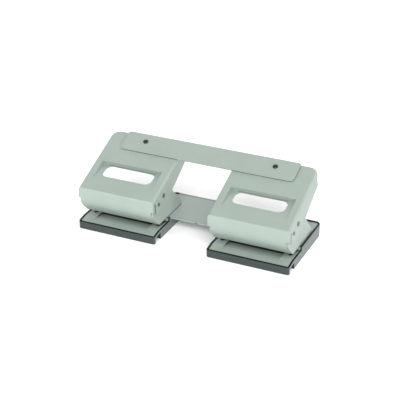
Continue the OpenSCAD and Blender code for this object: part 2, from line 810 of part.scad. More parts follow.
// The bent front of the lever: full width above, narrower between the ears below
module nose() {
    side_z = pivot_z - nose_side_drop;
    low_w = 2 * (ear_in - toe_gap);
    toe_w = low_w - 2 * toe_taper;
    strip = concat(nose_line(0), backwards(nose_line(lever_t)));
    // above, its ends are rounded off like the panel's side folds
    intersection() {
        on_panel() across(lever_w) polygon(strip);
        on_panel() translate([0, start_s + cut, 0]) rotate([90, 0, 0]) linear_extrude(panel_len) {
            translate([-half_flat, -side_r]) square([2 * half_flat, side_r + cut]);
            for (s = [-1, 1]) translate([s * half_flat, -side_r]) circle(side_r);
            translate([-half_lever, -panel_len]) square([lever_w, panel_len - side_r]);
        }
        translate([-reach / 2, -reach / 2, side_z]) cube(reach);
    }
    intersection() {
        on_panel() across(lever_w) polygon(strip);
        translate([0, reach / 2, 0]) rotate([90, 0, 0]) linear_extrude(reach)
            polygon([[-low_w / 2, side_z + fuse], [-low_w / 2, bend_end[1]],
                [-toe_w / 2, 0], [toe_w / 2, 0],
                [low_w / 2, bend_end[1]], [low_w / 2, side_z + fuse]]);
    }
}

// ---- Punches -------------------------------------------------------------------------

// Puts its children at one punch: outward is 1 for the outer hole and -1 for the inner one
module at_punch(side, outward) {
    at_unit(side) translate([side * outward * hole_spacing / 2, punch_y, 0]) children();
}

module punch(side, outward) {
    color(steel) at_punch(side, outward) difference() {
        union() {
            translate([0, 0, tip_z]) cylinder(d = hole_d, h = cap_z - tip_z);
            translate([0, 0, cap_z - fuse]) cylinder(d = neck_d, h = neck_h + fuse);
        }
        // hollow ground tip
        translate([-hole_d, 0, tip_z - hole_d / 2]) rotate([0, 90, 0])
            cylinder(r = hole_d / 2 + grind_extra, h = 2 * hole_d);
    }
}

module punch_cap(side, outward) {
    color(steel) at_punch(side, outward) difference() {
        translate([0, 0, cap_z]) cylinder(d = cap_d, h = cap_h);
        translate([0, 0, cap_z - cut]) cylinder(d = neck_d, h = neck_h + cut);
    }
}

// A return spring between the upper guide and the cap: one unbroken coil with closed ends
spring_h = cap_z - spring_low_z - wire_d;
closed_share = 0.5;
rings_per_turn = 8;
wire_sides = 6;
spring_rings = round(spring_turns * rings_per_turn);

// Height of the wire's centre after t turns: level at both ends, steady between
function coil_z(t) =
    let (p = max(0, min(1, (t - closed_share) / (spring_turns - 2 * closed_share))))
    wire_d / 2 + p * spring_h;

function coil_point(t) = [spring_r * cos(360 * t), spring_r * sin(360 * t), coil_z(t)];

function coil_ring(t) = [for (k = [0:wire_sides - 1])
    let (a = 360 * k / wire_sides, r = spring_r + wire_d / 2 * cos(a))
    [r * cos(360 * t), r * sin(360 * t), coil_z(t) + wire_d / 2 * sin(a)]];

// Least gap between one turn and the next, measured on the coil's own points
coil_gap = min([for (i = [0:spring_rings - rings_per_turn])
    norm(coil_point((i + rings_per_turn) / rings_per_turn) - coil_point(i / rings_per_turn))])
    - wire_d;

module return_spring(side, outward) {
    points = [for (i = [0:spring_rings]) each coil_ring(i / rings_per_turn)];
    n = wire_sides;
    skin = [for (i = [0:spring_rings - 1], k = [0:n - 1])
        let (a = i * n + k, b = i * n + (k + 1) % n)
        each [[a, b, a + n], [b, b + n, a + n]]];
    first = [for (k = [1:n - 2]) [0, k + 1, k]];
    base = spring_rings * n;
    last = [for (k = [1:n - 2]) [base, base + k, base + k + 1]];
    color(steel) at_punch(side, outward) translate([0, 0, spring_low_z])
        polyhedron(points, concat(skin, first, last));
}

// ---- Handle bar ----------------------------------------------------------------------

module on_bar() {
    translate([0, -tray_d / 2, 0]) on_panel() translate([0, panel_len - bar_w, 0]) children();
}

module handle_bar() {
    color(sheet_paint) on_bar() linear_extrude(bar_t) difference() {
        rounded(unit_pitch + 2 * bar_reach, bar_w, bar_front_r, bar_rear_r);
        for (u = [-1, 1])
            translate([u * unit_pitch / 2, bar_screw_y]) circle(screw_d / 2 + screw_gap);
    }
}

module bar_screws() {
    shank = bar_t + lever_t + nut_h + thread_end;
    color(black_steel) on_bar() for (u = [-1, 1])
        translate([u * unit_pitch / 2, bar_screw_y, bar_t]) difference() {
            union() {
                intersection() {
                    cylinder(d = screw_head_d, h = screw_head_h);
                    translate([0, 0, screw_head_h - screw_head_d]) sphere(r = screw_head_d);
                }
                translate([0, 0, -shank]) cylinder(d = screw_d, h = shank + fuse);
            }
            translate([0, 0, screw_head_h / 2])
                cylinder(d = socket_d, h = screw_head_h, $fn = 6);
        }
}

module bar_nuts() {
    color(steel) for (side = [LEFT, RIGHT]) at_unit(side) screw_place()
        translate([0, 0, -lever_t - nut_h]) difference() {
            cylinder(r = nut_flat / sqrt(3), h = nut_h, $fn = 6);
            translate([0, 0, -cut]) cylinder(d = screw_d, h = nut_h + 2 * cut);
        }
}

echo(least_spring_gap = coil_gap, punch_travel = punch_travel);

chip_tray(LEFT);  // left_chip_tray
chip_tray(RIGHT);  // right_chip_tray
tray_pin(LEFT);  // left_tray_pin
tray_pin(RIGHT);  // right_tray_pin
base_plate(LEFT);  // left_base_plate
base_plate(RIGHT);  // right_base_plate
connecting_plate();
punch_frame(LEFT);  // left_punch_frame
punch_frame(RIGHT);  // right_punch_frame
upper_guide(LEFT);  // left_upper_guide
upper_guide(RIGHT);  // right_upper_guide
frame_rivets(LEFT);  // left_frame_rivets
frame_rivets(RIGHT);  // right_frame_rivets
pivot_pin(LEFT);  // left_pivot_pin
pivot_pin(RIGHT);  // right_pivot_pin
lever(LEFT);  // left_lever
lever(RIGHT);  // right_lever
pusher_pin(LEFT);  // left_pusher_pin
pusher_pin(RIGHT);  // right_pusher_pin
punch(LEFT, 1);  // left_outer_punch
punch(LEFT, -1);  // left_inner_punch
punch(RIGHT, -1);  // right_inner_punch
punch(RIGHT, 1);  // right_outer_punch
punch_cap(LEFT, 1);  // left_outer_cap
punch_cap(LEFT, -1);  // left_inner_cap
punch_cap(RIGHT, -1);  // right_inner_cap
punch_cap(RIGHT, 1);  // right_outer_cap
return_spring(LEFT, 1);  // left_outer_spring
return_spring(LEFT, -1);  // left_inner_spring
return_spring(RIGHT, -1);  // right_inner_spring
return_spring(RIGHT, 1);  // right_outer_spring
handle_bar();
bar_screws();
bar_nuts();
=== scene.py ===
"""Looks of the four-hole desk punch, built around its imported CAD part."""
import logging
import math
from abc import ABC, abstractmethod
from dataclasses import dataclass, field
from enum import Enum
from typing import Callable, Iterable, Iterator, Optional, Sequence

import bmesh
import bpy
from mathutils import Matrix, Quaternion, Vector


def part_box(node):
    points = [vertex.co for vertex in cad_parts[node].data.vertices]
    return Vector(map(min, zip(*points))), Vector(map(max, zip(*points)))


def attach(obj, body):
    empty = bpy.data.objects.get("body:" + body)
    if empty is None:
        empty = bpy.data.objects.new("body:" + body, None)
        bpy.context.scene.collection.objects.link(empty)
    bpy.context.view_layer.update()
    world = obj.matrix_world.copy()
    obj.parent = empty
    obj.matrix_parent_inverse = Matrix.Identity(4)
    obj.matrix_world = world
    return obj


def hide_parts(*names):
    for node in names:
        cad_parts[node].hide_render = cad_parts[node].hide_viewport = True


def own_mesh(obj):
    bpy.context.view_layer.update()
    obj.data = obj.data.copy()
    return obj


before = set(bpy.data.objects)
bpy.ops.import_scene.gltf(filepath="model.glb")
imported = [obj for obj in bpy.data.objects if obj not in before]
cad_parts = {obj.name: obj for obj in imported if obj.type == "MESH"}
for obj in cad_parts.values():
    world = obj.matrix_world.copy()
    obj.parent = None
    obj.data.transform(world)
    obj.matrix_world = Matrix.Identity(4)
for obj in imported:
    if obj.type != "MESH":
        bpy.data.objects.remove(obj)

logger = logging.getLogger("desk_punch")

MM = 0.001

ZONE_LAYER = "zone"
ZONE_MARGIN = 0.25  # the values of two zones lie at least 1 apart

MERGE_DISTANCE = 0.002 * MM  # vertices that lie closer are made one
CUT_DISTANCE = 0.01 * MM  # what lies this close to a cutting plane counts as in it
FLAT_ANGLE = 0.4  # degrees; faces that meet at less are made one
SIDEWAYS = 0.9  # least share of X in the normal of a face that looks sideways
FULL_WEIGHT = 100  # the largest face at a corner alone sets the normal there

# most of a noise pattern's values lie in the first span, and all of a share's in the second
PATTERN_SPAN = (0.3, 0.7)
SHARE_SPAN = (0.0, 1.0)

Face = bmesh.types.BMFace
Socket = bpy.types.NodeSocket
Colour = tuple[float, float, float]
Direction = tuple[float, float, float]

ALONG_X: Direction = (1.0, 0.0, 0.0)
ALONG_Y: Direction = (0.0, 1.0, 0.0)
ALONG_Z: Direction = (0.0, 0.0, 1.0)


class Unit(Enum):
    """The two punch units, by the sign of their place along X."""

    LEFT = "left"
    RIGHT = "right"


class Place(Enum):
    """The two punches of a unit."""

    OUTER = "outer"
    INNER = "inner"


class Slot(Enum):
    """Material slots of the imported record."""

    LEVER = "lever_paint"
    SHEET = "sheet_paint"
    TRAY = "tray_plastic"
    BRIGHT = "bright_steel"
    DARK = "dark_steel"
    SPRING = "spring_wire"
    SCREW = "black_screws"


class Body(Enum):
    """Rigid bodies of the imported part."""

    BASE = "base"
    LEVER = "lever_assembly"
    LEFT_TRAY = "left_tray"
    RIGHT_TRAY = "right_tray"


class Zone(Enum):
    """Zones of a piece that its finish treats apart, as values of the zone layer.

    Attributes:
        PLAIN: Most of a piece.
        DARK: Painted deep shade on rims, seams, walls and floors that little light reaches.
        FLANK: Sides of a tray, lighter with a painted sheen.
        SHADE: Painted half shade.
    """

    PLAIN = 0.0
    DARK = 1.0
    FLANK = 2.0
    SHADE = 3.0


ZoneOf = Callable[[Face], Zone]


@dataclass(frozen=True)
class Cut:
    """A plane at which faces are divided, so that a zone can end there.

    Attributes:
        axis: Normal of the plane.
        place: Distance of the plane from the origin, along the axis.
        sideways_only: Whether only faces that look sideways are divided.
    """

    axis: Direction
    place: float
    sideways_only: bool = False

    def divide(self, bm: bmesh.types.BMesh) -> None:
        """Divide the faces of a mesh.

        Args:
            bm: Mesh to work on.
        """
        faces = [f for f in bm.faces if not self.sideways_only or abs(f.normal.x) > SIDEWAYS]
        edges = {e for f in faces for e in f.edges}
        verts = {v for f in faces for v in f.verts}
        bmesh.ops.bisect_plane(
            bm,
            geom=[*verts, *edges, *faces],
            dist=CUT_DISTANCE,
            plane_co=Vector(self.axis) * self.place,
            plane_no=self.axis,
        )


def centre_x(node: str) -> float:
    """Measure where the middle of a CAD node lies along X."""
    low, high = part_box(node)
    return (low.x + high.x) / 2


# ---------------------------------------------------------------------------------------
# Finishes
# ---------------------------------------------------------------------------------------


@dataclass(frozen=True)
class Pattern:
    """A noise pattern in object coordinates.

    Attributes:
        scale: Cycles per metre.
        detail: Number of octaves.
        stretch: Scale along each axis before the noise.
    """

    scale: float
    detail: float
    stretch: tuple[float, float, float] = (1.0, 1.0, 1.0)


@dataclass(frozen=True)
class Relief:
    """How far a pattern bends the surface's normal.

    Attributes:
        strength: Share of the effect.
        height: Height of the pattern in metres.
    """

    strength: float
    height: float


def scaled(colour: Colour, factor: float) -> Colour:
    """Scale each channel of a linear colour."""
    return (colour[0] * factor, colour[1] * factor, colour[2] * factor)


class Shader:
    """A small helper that adds and links shader nodes of one material."""

    def __init__(self, name: str) -> None:
        """Start a material with nothing but its surface.

        Args:
            name: Name of the material.
        """
        self.material = bpy.data.materials.new(name)
        self.material.use_nodes = True
        self.tree = self.material.node_tree
        self.tree.nodes.clear()
        output = self.tree.nodes.new("ShaderNodeOutputMaterial")
        self.surface = self.tree.nodes.new("ShaderNodeBsdfPrincipled")
        self.link(self.surface.outputs["BSDF"], output.inputs["Surface"])
        self.coordinates = self.tree.nodes.new("ShaderNodeTexCoord").outputs["Object"]

    def link(self, source: Socket, target: Socket) -> None:
        """Join an output socket to an input socket."""
        self.tree.links.new(source, target)

    def feed(self, source: Socket, name: str) -> None:
        """Join an output socket to a named input of the surface."""
        self.link(source, self.surface.inputs[name])

    def hold(self, name: str, value: float) -> None:
        """Give a named input of the surface one value everywhere."""
        self.surface.inputs[name].default_value = value

    def noise(self, pattern: Pattern) -> Socket:
        """Add a noise pattern.

        Args:
            pattern: Scale, detail and stretch of the noise.

        Returns:
            The noise value's socket.
        """
        mapping = self.tree.nodes.new("ShaderNodeMapping")
        mapping.inputs["Scale"].default_value = pattern.stretch
        self.link(self.coordinates, mapping.inputs["Vector"])
        node = self.tree.nodes.new("ShaderNodeTexNoise")
        node.inputs["Scale"].default_value = pattern.scale
        node.inputs["Detail"].default_value = pattern.detail
        self.link(mapping.outputs["Vector"], node.inputs["Vector"])
        return node.outputs["Fac"]

    def spread(
        self,
        value: Socket,
        low: float = 0.0,
        high: float = 1.0,
        span: tuple[float, float] = PATTERN_SPAN,
    ) -> Socket:
        """Map a span of values onto a new range, and hold what lies outside at its ends.

        Args:
            value: Socket with the value.
            low: Result at the span's start.
            high: Result at the span's end.
            span: Start and end of the values that are mapped.

        Returns:
            The mapped value's socket.
        """
        node = self.tree.nodes.new("ShaderNodeMapRange")
        node.inputs["From Min"].default_value = span[0]
        node.inputs["From Max"].default_value = span[1]
        node.inputs["To Min"].default_value = low
        node.inputs["To Max"].default_value = high
        self.link(value, node.inputs["Value"])
        return node.outputs["Result"]

    def _mix(self, share: Socket) -> bpy.types.Node:
        """Add a mix of two colours.

        Args:
            share: Socket with the second colour's share.

        Returns:
            The mixing node, with its colours still to be set.
        """
        node = self.tree.nodes.new("ShaderNodeMix")
        node.data_type = "RGBA"
        self.link(share, node.inputs["Factor"])
        return node

    def blend(self, share: Socket, first: Colour, second: Colour) -> Socket:
        """Mix two colours by a share.

        Args:
            share: Socket with the second colour's share.
            first: Colour at share 0.
            second: Colour at share 1.

        Returns:
            The mixed colour's socket.
        """
        node = self._mix(share)
        node.inputs["A"].default_value = (*first, 1)
        node.inputs["B"].default_value = (*second, 1)
        return node.outputs["Result"]

    def vary(self, share: Socket, colour: Colour, drift: float) -> Socket:
        """Make a colour darker and lighter with a share, by up to the drift each way."""
        return self.blend(share, scaled(colour, 1 - drift), scaled(colour, 1 + drift))

    def overlay(self, share: Socket, under: Socket, over: Socket) -> Socket:
        """Lay a colour over another one.

        Args:
            share: Socket with the upper colour's share.
            under: Socket with the lower colour.
            over: Socket with the upper colour.

        Returns:
            The resulting colour's socket.
        """
        node = self._mix(share)
        self.link(under, node.inputs["A"])
        self.link(over, node.inputs["B"])
        return node.outputs["Result"]

    def bump(self, pattern: Socket, relief: Relief) -> None:
        """Roughen the surface's normal.

        Args:
            pattern: Socket with the height pattern.
            relief: Strength and height of the effect.
        """
        node = self.tree.nodes.new("ShaderNodeBump")
        node.inputs["Strength"].default_value = relief.strength
        node.inputs["Distance"].default_value = relief.height
        self.link(pattern, node.inputs["Height"])
        self.feed(node.outputs["Normal"], "Normal")

    def inside(self, zone: Zone) -> Socket:
        """Find where a zone of the piece is.

        Args:
            zone: Zone to find.

        Returns:
            A socket that is 1 inside the zone and 0 elsewhere.
        """
        attribute = self.tree.nodes.new("ShaderNodeAttribute")
        attribute.attribute_type = "GEOMETRY"
        attribute.attribute_name = ZONE_LAYER
        compare = self.tree.nodes.new("ShaderNodeMath")
        compare.operation = "COMPARE"
        compare.inputs[1].default_value = zone.value
        compare.inputs[2].default_value = ZONE_MARGIN
        self.link(attribute.outputs["Fac"], compare.inputs[0])
        return compare.outputs[0]


@dataclass(frozen=True)
class Finish(ABC):
    """A surface finish.

    Attributes:
        name: Name of the material.
        colour: Linear colour in the middle of its variation.
        roughness: Roughness in the middle of its variation.
    """

    name: str
    colour: Colour
    roughness: float

    @abstractmethod
    def make(self) -> bpy.types.Material:
        """Build the material."""


@dataclass(frozen=True)
class Paint(Finish):
    """Stoved paint on sheet steel, with a faint orange peel and zones of painted shade.

    Attributes:
        cloud: Slow variation of the colour.
        drift: How far the colour varies, as a share of itself.
        wall: Colour of the painted deep shade in the dark zone, where little light reaches.
        wall_drift: How far the painted deep shade's colour varies, as a share of itself.
        shade: Brightness of the painted half shade, as a share of the plain colour's.
        grain: Pattern of the orange peel.
        gloss_drift: How far the roughness varies.
        peel: Relief of the orange peel.
    """

    cloud: Pattern = Pattern(38.0, 4.0)
    drift: float = 0.03
    wall: Colour = (0.020, 0.026, 0.024)
    wall_drift: float = 0.2
    shade: float = 0.6
    grain: Pattern = Pattern(900.0, 2.0)
    gloss_drift: float = 0.04
    peel: Relief = Relief(0.25, 0.02 * MM)

    def make(self) -> bpy.types.Material:
        """Build the paint.

        Returns:
            The material.
        """
        shader = Shader(self.name)
        cloud = shader.noise(self.cloud)
        plain = shader.vary(shader.spread(cloud), self.colour, self.drift)
        # painted half shade and painted deep shade, laid over the plain colour
        shaded = shader.vary(cloud, scaled(self.colour, self.shade), self.drift)
        wall = shader.vary(cloud, self.wall, self.wall_drift)
        colour = shader.overlay(shader.inside(Zone.SHADE), plain, shaded)
        shader.feed(shader.overlay(shader.inside(Zone.DARK), colour, wall), "Base Color")
        grain = shader.noise(self.grain)
        low, high = self.roughness - self.gloss_drift, self.roughness + self.gloss_drift
        shader.feed(shader.spread(grain, low, high), "Roughness")
        shader.bump(grain, self.peel)
        return shader.material


@dataclass(frozen=True)
class Moulding(Finish):
    """A smooth dark surface with a fine grain.

    Attributes:
        cloud: Slow variation of the colour.
        drift: How far the colour varies, as a share of itself.
        shine: Strength of the surface's reflections.
        grain: Pattern of the fine grain.
        gloss_drift: How far the roughness varies.
        relief: Relief of the fine grain.
    """

    cloud: Pattern = Pattern(60.0, 3.0)
    drift: float = 0.1
    shine: float = 0.5
    grain: Pattern = Pattern(1400.0, 3.0)
    gloss_drift: float = 0.06
    relief: Relief = Relief(0.3, 0.03 * MM)

    def make(self) -> bpy.types.Material:
        """Build the surface.

        Returns:
            The material.
        """
        shader = Shader(self.name)
        self._colour(shader, shader.spread(shader.noise(self.cloud)))
        grain = shader.noise(self.grain)
        low, high = self.roughness - self.gloss_drift, self.roughness + self.gloss_drift
        shader.feed(shader.spread(grain, low, high), "Roughness")
        shader.bump(grain, self.relief)
        return shader.material

    def _colour(self, shader: Shader, cloud: Socket) -> None:
        """Give the surface one colour and one shine."""
        shader.feed(shader.vary(cloud, self.colour, self.drift), "Base Color")
        shader.hold("Specular IOR Level", self.shine)


@dataclass(frozen=True)
class TrayPlastic(Moulding):
    """Moulded plastic with a painted shadow on its rim and a painted sheen on its flanks.

    Attributes:
        rim: Colour of the rim, a painted shadow of the gap under the base plate.
        flank: Colour of the flanks, lighter with a painted sheen.
        sheen_streaks: Pattern of streaks in the flanks' painted sheen.
        shade_and_sheen_drift: How far the painted shadow and sheen vary, as a share of
            themselves.
        rim_shine: Strength of the rim's reflections.
    """

    rim: Colour = (0.003, 0.006, 0.005)
    flank: Colour = (0.088, 0.104, 0.102)
    sheen_streaks: Pattern = Pattern(700.0, 4.0, (1.0, 1.0, 3.0))
    shade_and_sheen_drift: float = 0.2
    rim_shine: float = 0.12

    def _colour(self, shader: Shader, cloud: Socket) -> None:
        """Give each zone of the surface its colour and its shine.

        Args:
            shader: Shader of the material.
            cloud: Socket with the slow variation of the colour.
        """
        plain = shader.vary(cloud, self.colour, self.drift)
        # painted sheen on the flanks, lighter than the plain front
        sheen_streaks = shader.spread(shader.noise(self.sheen_streaks))
        flank = shader.vary(sheen_streaks, self.flank, self.shade_and_sheen_drift)
        # painted shadow on the rim
        rim = shader.vary(cloud, self.rim, self.shade_and_sheen_drift)
        in_rim_shadow = shader.inside(Zone.DARK)
        colour = shader.overlay(shader.inside(Zone.FLANK), plain, flank)
        shader.feed(shader.overlay(in_rim_shadow, colour, rim), "Base Color")
        shine = shader.spread(in_rim_shadow, self.shine, self.rim_shine, SHARE_SPAN)
        shader.feed(shine, "Specular IOR Level")


@dataclass(frozen=True)
class Metal(Finish):
    """Bare or oiled steel with turning or rolling marks.

    Attributes:
        streaks: Pattern of the marks.
        darkest: Brightness of the darkest marks, as a share of the colour's.
        lightest: Brightness of the lightest marks, as a share of the colour's.
        smoother: How far the roughness falls along the marks.
        rougher: How far the roughness rises along the marks.
        relief: Relief of the marks.
    """

    streaks: Pattern = Pattern(260.0, 4.0, (1.0, 1.0, 12.0))
    darkest: float = 0.85
    lightest: float = 1.1
    smoother: float = 0.06
    rougher: float = 0.08
    relief: Relief = Relief(0.2, 0.01 * MM)

    def make(self) -> bpy.types.Material:
        """Build the metal.

        Returns:
            The material.
        """
        shader = Shader(self.name)
        shader.hold("Metallic", 1.0)
        streaks = shader.noise(self.streaks)
        dark, light = scaled(self.colour, self.darkest), scaled(self.colour, self.lightest)
        shader.feed(shader.blend(shader.spread(streaks), dark, light), "Base Color")
        low, high = self.roughness - self.smoother, self.roughness + self.rougher
        shader.feed(shader.spread(streaks, low, high), "Roughness")
        shader.bump(streaks, self.relief)
        return shader.material


FINISHES: dict[Slot, Finish] = {
    Slot.LEVER: Paint("lever paint", (0.225, 0.270, 0.242), 0.42),
    Slot.SHEET: Paint("sheet paint", (0.225, 0.270, 0.242), 0.46),
    Slot.TRAY: TrayPlastic("tray plastic", (0.018, 0.028, 0.027), 0.40),
    Slot.BRIGHT: Metal("bright steel", (0.62, 0.63, 0.64), 0.30),
    Slot.DARK: Metal("dark steel", (0.16, 0.18, 0.17), 0.38),
    Slot.SPRING: Metal("spring wire", (0.50, 0.51, 0.52), 0.25),
    Slot.SCREW: Moulding("black screws", (0.012, 0.013, 0.013), 0.30),
}


class Palette:
    """Makes each finish once and gives it to the pieces."""

    def __init__(self, finishes: dict[Slot, Finish]) -> None:
        """Keep the finish of each slot."""
        self._finishes = finishes
        self._made: dict[Slot, bpy.types.Material] = {}

    def dress(self, piece: bpy.types.Object, slot: Slot) -> bpy.types.Object:
        """Give a piece its finish.

        Args:
            piece: A new piece or a CAD node.
            slot: The record's slot.

        Returns:
            The piece.
        """
        if slot not in self._made:
            self._made[slot] = self._finishes[slot].make()
        piece.data.materials.clear()
        piece.data.materials.append(self._made[slot])
        return piece


# ---------------------------------------------------------------------------------------
# Pieces
# ---------------------------------------------------------------------------------------


@dataclass(frozen=True)
class EdgeStyle:
    """How the sharp edges of a piece are broken.

    Attributes:
        width: Width that a broken edge takes from each of its two faces.
        segments: Number of faces across a broken edge.
        min_angle: Angle between two faces, in degrees, above which their edge is broken.
        shade_angle: Angle above which an edge of the finished piece stays sharp.
    """

    width: float
    segments: int = 2
    min_angle: float = 35.0
    shade_angle: float = 32.0


class Piece:
    """A new mesh that stands for CAD nodes."""

    def __init__(self, name: str, body: str, slot: Slot, palette: Palette) -> None:
        """Name the piece.

        Args:
            name: Name of the piece.
            body: Body that it rides on.
            slot: The record's slot.
            palette: Maker of finishes.
        """
        self.name = name
        self.body = body
        self.slot = slot
        self.palette = palette

    def place(
        self, bm: bmesh.types.BMesh, nodes: Iterable[str], shade_angle: float
    ) -> bpy.types.Object:
        """Turn a finished bmesh into an object that rides its body.

        Args:
            bm: The mesh, in the frame's own coordinates.
            nodes: CAD nodes that it stands for.
            shade_angle: Edges sharper than this stay sharp, in degrees.

        Returns:
            The new object.
        """
        for face in bm.faces:
            face.smooth = True
        for edge in bm.edges:
            # an edge without two faces counts as sharp
            edge.smooth = edge.calc_face_angle(math.pi) < math.radians(shade_angle)
        mesh = bpy.data.meshes.new(self.name)
        bm.to_mesh(mesh)
        bm.free()
        piece = bpy.data.objects.new(self.name, mesh)
        bpy.context.scene.collection.objects.link(piece)
        self.palette.dress(piece, self.slot)
        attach(piece, self.body)
        names = list(nodes)
        if names:
            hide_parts(*names)
        return piece


class SoftenedPiece(Piece):
    """A CAD node's shape with its sharp edges broken."""

    def __init__(
        self,
        node: str,
        body: str,
        slot: Slot,
        palette: Palette,
        style: EdgeStyle,
        zone_of: Optional[ZoneOf] = None,
        cuts: Sequence[Cut] = (),
    ) -> None:
        """Name the node.

        Args:
            node: CAD node whose shape is taken.
            body: Body that it rides on.
            slot: The record's slot.
            palette: Maker of finishes.
            style: How edges are broken.
            zone_of: Names the zone of a face.
            cuts: Planes at which faces are divided, so that a zone can end there.
        """
        super().__init__(f"{node}.soft", body, slot, palette)
        self.node = node
        self.style = style
        self.zone_of = zone_of
        self.cuts = cuts

    def build(self) -> bpy.types.Object:
        """Build the piece.

        Returns:
            The new object.
        """
        bm = bmesh.new()
        bm.from_mesh(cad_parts[self.node].data)
        bmesh.ops.remove_doubles(bm, verts=bm.verts[:], dist=MERGE_DISTANCE)
        bmesh.ops.dissolve_limit(
            bm, angle_limit=math.radians(FLAT_ANGLE), verts=bm.verts[:], edges=bm.edges[:]
        )
        self._break_edges(bm)
        bm.normal_update()
        for cut in self.cuts:
            cut.divide(bm)
        bm.normal_update()
        if self.zone_of:
            layer = bm.faces.layers.float.new(ZONE_LAYER)
            for face in bm.faces:
                face[layer] = self.zone_of(face).value
        piece = self.place(bm, [self.node], self.style.shade_angle)
        # flat faces keep their own normal, so that they don't shade towards their broken edges
        even = piece.modifiers.new("even shading", "WEIGHTED_NORMAL")
        even.weight = FULL_WEIGHT
        even.keep_sharp = True
        return piece

    def _break_edges(self, bm: bmesh.types.BMesh) -> None:
        """Bevel the sharp edges of a mesh.

        Args:
            bm: Mesh to work on.
        """
        limit = math.radians(self.style.min_angle)
        sharp = [e for e in bm.edges if e.is_manifold and e.calc_face_angle(0.0) > limit]
        if sharp:
            bmesh.ops.bevel(
                bm,
                geom=sharp,
                offset=self.style.width,
                offset_type="OFFSET",
                affect="EDGES",
                segments=self.style.segments,
                profile=0.5,
                clamp_overlap=True,
                material=-1,
            )


@dataclass(frozen=True)
class CoilSize:
    """Sizes of a return spring, in metres. Its length and width come from the CAD node.

    Attributes:
        wire: Thickness of the wire.
        turns: Number of turns.
        steps_per_turn: Number of straight stretches that make a turn.
        sides: Number of faces round the wire.
        shade_angle: Angle above which an edge stays sharp, in degrees.
        pressed_share: Share of its length that the spring keeps when it is pressed; not used.
    """

    wire: float = 0.6 * MM
    turns: float = 6.5
    steps_per_turn: int = 32
    sides: int = 12
    shade_angle: float = 60.0
    pressed_share: float = 0.62


class ReturnSpring(Piece):
    """A wire coil round one punch, swept in one go."""

    def __init__(self, unit: Unit, place: Place, palette: Palette, size: CoilSize) -> None:
        """Name the spring.

        Args:
            unit: Punch unit.
            place: Which punch of the unit.
            palette: Maker of finishes.
            size: Sizes of the coil.
        """
        node = f"{unit.value}_{place.value}_spring"
        super().__init__(f"{node}.coil", Body.BASE.value, Slot.SPRING, palette)
        self.node = node
        self.joint = f"{unit.value}_{place.value}_slide"
        self.size = size

    def build(self) -> bpy.types.Object:
        """Build the spring.

        Returns:
            The new object.
        """
        size = self.size
        low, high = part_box(self.node)
        centre = (low + high) / 2
        climb = high.z - low.z - size.wire
        radius = (high.x - low.x - size.wire) / 2
        bm = bmesh.new()
        ring = bmesh.ops.create_circle(
            bm, cap_ends=False, segments=size.sides, radius=size.wire / 2
        )
        bmesh.ops.rotate(
            bm, verts=ring["verts"], cent=(0, 0, 0), matrix=Matrix.Rotation(math.pi / 2, 3, "X")
        )
        start = Vector((centre.x + radius, centre.y, low.z + size.wire / 2))
        bmesh.ops.translate(bm, verts=ring["verts"], vec=start)
        steps = round(size.turns * size.steps_per_turn)
        bmesh.ops.spin(
            bm,
            geom=bm.edges[:],
            cent=centre,
            axis=ALONG_Z,
            dvec=(0, 0, climb / steps),
            angle=size.turns * 2 * math.pi,
            steps=steps,
            use_merge=False,
            use_duplicate=False,
        )
        bmesh.ops.holes_fill(bm, edges=[e for e in bm.edges if e.is_boundary], sides=size.sides)
        bmesh.ops.recalc_face_normals(bm, faces=bm.faces[:])
        piece = self.place(bm, [self.node], size.shade_angle)
        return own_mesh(piece)


# ---------------------------------------------------------------------------------------
# Sub-assemblies
# ---------------------------------------------------------------------------------------


@dataclass
class SubAssembly(ABC):
    """A group of pieces that belong together.

    Attributes:
        palette: Maker of finishes.
    """

    palette: Palette

    @abstractmethod
    def build(self) -> Iterator[bpy.types.Object]:
        """Build and dress the pieces, one after the other."""

    def soften(
        self,
        node: str,
        body: Body,
        slot: Slot,
        style: EdgeStyle,
        zone_of: Optional[ZoneOf] = None,
        cuts: Sequence[Cut] = (),
    ) -> bpy.types.Object:
        """Build a piece with a CAD node's shape and broken edges."""
        return SoftenedPiece(node, body.value, slot, self.palette, style, zone_of, cuts).build()

    def dress(self, node: str, slot: Slot) -> bpy.types.Object:
        """Give its finish to a CAD node that is kept as it is."""
        return self.palette.dress(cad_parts[node], slot)


@dataclass
class ChipTrays(SubAssembly):
    """Both chip trays with their wire pins.

    Attributes:
        edge: How the trays' edges are broken.
        front_line: Height above which a face that looks up belongs to the rim.
        rear_line: Height above which any face belongs to the rim.
        rim_rise: Least upward share in the normal of a face that looks up.
        flank_x: Least sideways share in the normal of a flank with painted sheen.
    """

    edge: EdgeStyle = EdgeStyle(0.35 * MM)
    front_line: float = 8.3 * MM
    rear_line: float = 14.4 * MM
    rim_rise: float = 0.3
    flank_x: float = 0.9

    def _zone(self, face: Face) -> Zone:
        """Name the zone of a tray's face.

        Args:
            face: Face to judge.

        Returns:
            Painted shadow on the rim, painted sheen on a side, or the plain rest.
        """
        height = face.calc_center_median().z
        facing_up = face.normal.z > self.rim_rise
        if height > self.rear_line or (facing_up and height > self.front_line):
            return Zone.DARK
        return Zone.FLANK if abs(face.normal.x) > self.flank_x else Zone.PLAIN

    def build(self) -> Iterator[bpy.types.Object]:
        """Build and dress the pieces, one after the other.

        Yields:
            Each piece.
        """
        for unit, body in ((Unit.LEFT, Body.LEFT_TRAY), (Unit.RIGHT, Body.RIGHT_TRAY)):
            yield self.soften(
                f"{unit.value}_chip_tray", body, Slot.TRAY, self.edge,
                self._zone, (Cut(ALONG_Z, self.rear_line),),
            )
            yield self.dress(f"{unit.value}_tray_pin", Slot.BRIGHT)


